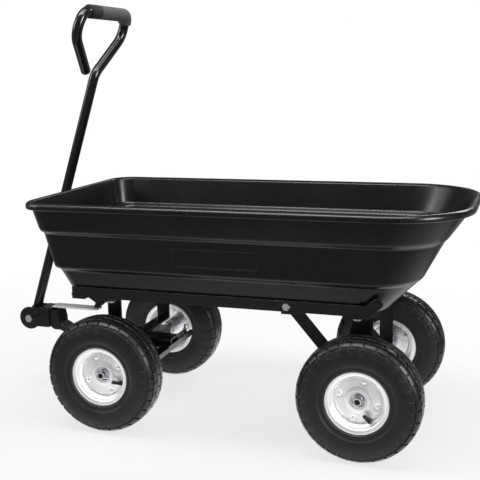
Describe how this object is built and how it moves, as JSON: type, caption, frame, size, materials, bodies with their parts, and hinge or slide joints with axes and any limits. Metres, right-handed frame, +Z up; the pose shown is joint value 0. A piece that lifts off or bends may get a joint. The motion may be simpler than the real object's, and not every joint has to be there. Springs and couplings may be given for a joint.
{
  "type": "garden cart",
  "caption": "Tipping garden cart: black moulded tub on a steel frame with air-tyred wheels, a steered front axle, a folding pull handle and a rear dump hinge.",
  "frame": {"origin": "centre of the footprint, on the floor under the wheels", "axes": "+X to the rear, -X to the pull handle, +Y to the cart's right, +Z up"},
  "size_m": [1.078, 0.486, 0.9114],
  "materials": {
    "tub_plastic": "satin moulded polyethylene, black",
    "frame_black": "glossy black powder coat",
    "zinc": "bright zinc plate",
    "pedal_zinc": "zinc plated flat plate",
    "rim_zinc": "bright zinc plated pressed steel",
    "hub_zinc": "zinc plated turned steel",
    "tyre_rubber": "matte black rubber",
    "rubber_black": "black rubber",
    "grip_foam": "grey foam",
    "collar_black": "black foam"
  },
  "bodies": {
    "chassis": {"rail_left": "frame_black", "rail_right": "frame_black", "front_tie": "frame_black", "front_cross": "frame_black", "rear_cross": "frame_black", "front_leg_left": "frame_black", "front_leg_right": "frame_black", "pivot_plate": "frame_black", "rear_leg_left": "frame_black", "rear_leg_right": "frame_black", "gusset_left": "frame_black", "gusset_right": "frame_black", "brace_left": "frame_black", "brace_right": "frame_black", "rear_axle_beam": "frame_black", "rear_axle_shaft": "zinc", "rear_wheel_nuts": "zinc", "hinge_ears": "frame_black", "hinge_pins": "frame_black", "frame_bolts": "zinc", "latch_bracket": "frame_black", "latch_pin": "frame_black", "kingpin": "frame_black"},
    "tub": {"tub_shell": "tub_plastic", "tub_straps": "frame_black", "tub_hinge_bar": "frame_black", "tub_bolts": "zinc", "striker": "zinc"},
    "release": {"release_arm": "frame_black", "release_pedal": "pedal_zinc"},
    "steering": {"front_axle_beam": "frame_black", "front_axle_shaft": "zinc", "front_wheel_nuts": "zinc", "steering_plate": "frame_black", "steering_crossbar": "frame_black", "steering_bolts": "zinc", "tongue": "frame_black", "tongue_head": "frame_black", "yoke": "frame_black", "yoke_pin": "zinc"},
    "handle": {"handle_tube": "frame_black", "grip": "grip_foam", "grip_collar": "collar_black", "handle_plug": "rubber_black"},
    "wheel_front_left": {"tyre_front_left": "tyre_rubber", "rim_front_left": "rim_zinc", "hub_front_left": "hub_zinc", "valve_front_left": "rubber_black"},
    "wheel_front_right": {"tyre_front_right": "tyre_rubber", "rim_front_right": "rim_zinc", "hub_front_right": "hub_zinc", "valve_front_right": "rubber_black"},
    "wheel_rear_left": {"tyre_rear_left": "tyre_rubber", "rim_rear_left": "rim_zinc", "hub_rear_left": "hub_zinc", "valve_rear_left": "rubber_black"},
    "wheel_rear_right": {"tyre_rear_right": "tyre_rubber", "rim_rear_right": "rim_zinc", "hub_rear_right": "hub_zinc", "valve_rear_right": "rubber_black"}
  },
  "joints": [
    {"name": "dump_tilt", "type": "hinge", "parent": "chassis", "child": "tub", "pos_m": [0.364, 0, 0.318], "axis": [0, 1, 0], "range_deg": [0, 80]},
    {"name": "release_swing", "type": "hinge", "parent": "chassis", "child": "release", "pos_m": [-0.318, 0, 0.236], "axis": [0, 1, 0], "range_deg": [0, 9]},
    {"name": "steer", "type": "hinge", "parent": "chassis", "child": "steering", "pos_m": [-0.225, 0, 0.163], "axis": [0, 0, 1], "range_deg": [-13, 13]},
    {"name": "handle_swing", "type": "hinge", "parent": "steering", "child": "handle", "pos_m": [-0.5115, 0, 0.1835], "axis": [0, -1, 0], "range_deg": [0, 108]},
    {"name": "spin_front_left", "type": "hinge", "parent": "steering", "child": "wheel_front_left", "pos_m": [-0.225, -0.1883, 0.127], "axis": [0, 1, 0], "continuous": true},
    {"name": "spin_front_right", "type": "hinge", "parent": "steering", "child": "wheel_front_right", "pos_m": [-0.225, 0.1883, 0.127], "axis": [0, 1, 0], "continuous": true},
    {"name": "spin_rear_left", "type": "hinge", "parent": "chassis", "child": "wheel_rear_left", "pos_m": [0.333, -0.1883, 0.127], "axis": [0, 1, 0], "continuous": true},
    {"name": "spin_rear_right", "type": "hinge", "parent": "chassis", "child": "wheel_rear_right", "pos_m": [0.333, 0.1883, 0.127], "axis": [0, 1, 0], "continuous": true}
  ]
}
